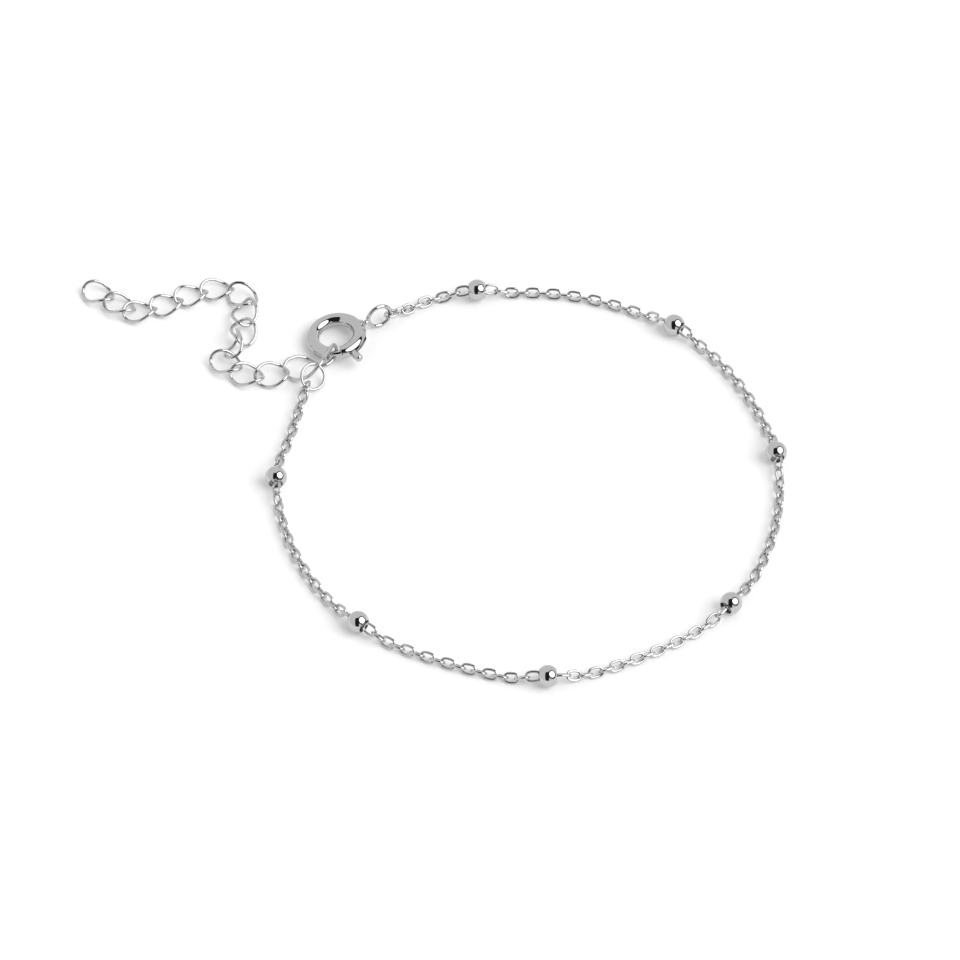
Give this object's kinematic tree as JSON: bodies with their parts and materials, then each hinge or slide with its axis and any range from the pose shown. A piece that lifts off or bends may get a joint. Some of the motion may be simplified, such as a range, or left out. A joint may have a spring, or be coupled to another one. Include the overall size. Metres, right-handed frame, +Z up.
{
  "type": "beaded chain bracelet",
  "caption": "Fine silver cable-chain bracelet threaded with small round balls, closed by a spring ring clasp with a curb-link extender chain.",
  "frame": {"origin": "centre of the bounding box, on the surface the bracelet lies on", "axes": "+Z up from the surface; +X from the extender's free end towards the loop; +Y towards the clasp's side of the loop"},
  "size_m": [0.0704, 0.0524, 0.0029],
  "materials": {
    "polished_silver": "bright mirror-polished silver, plated against tarnish"
  },
  "bodies": {
    "bracelet": {"spring_ring_body": "polished_silver", "chain_1": "polished_silver", "chain_2": "polished_silver", "chain_3": "polished_silver", "chain_4": "polished_silver", "chain_5": "polished_silver", "chain_6": "polished_silver", "chain_7": "polished_silver", "chain_8": "polished_silver", "bead_1": "polished_silver", "bead_2": "polished_silver", "bead_3": "polished_silver", "bead_4": "polished_silver", "bead_5": "polished_silver", "bead_6": "polished_silver", "bead_7": "polished_silver", "jump_ring": "polished_silver", "large_link": "polished_silver", "extender_link_01": "polished_silver", "extender_link_02": "polished_silver", "extender_link_03": "polished_silver", "extender_link_04": "polished_silver", "extender_link_05": "polished_silver", "extender_link_06": "polished_silver", "extender_link_07": "polished_silver", "extender_link_08": "polished_silver", "extender_link_09": "polished_silver", "extender_link_10": "polished_silver", "extender_link_11": "polished_silver", "extender_link_12": "polished_silver", "extender_link_13": "polished_silver"},
    "bolt": {"spring_ring_bolt": "polished_silver"}
  },
  "joints": [
    {"name": "bolt_turn", "type": "hinge", "parent": "bracelet", "child": "bolt", "pos_m": [-0.00947, 0.01823, 0.001], "axis": [-0.1288, 0.0495, 0.9904], "range_deg": [0, 37], "stiffness_Nm_per_rad": 0.002, "springref_deg": -20.05}
  ]
}
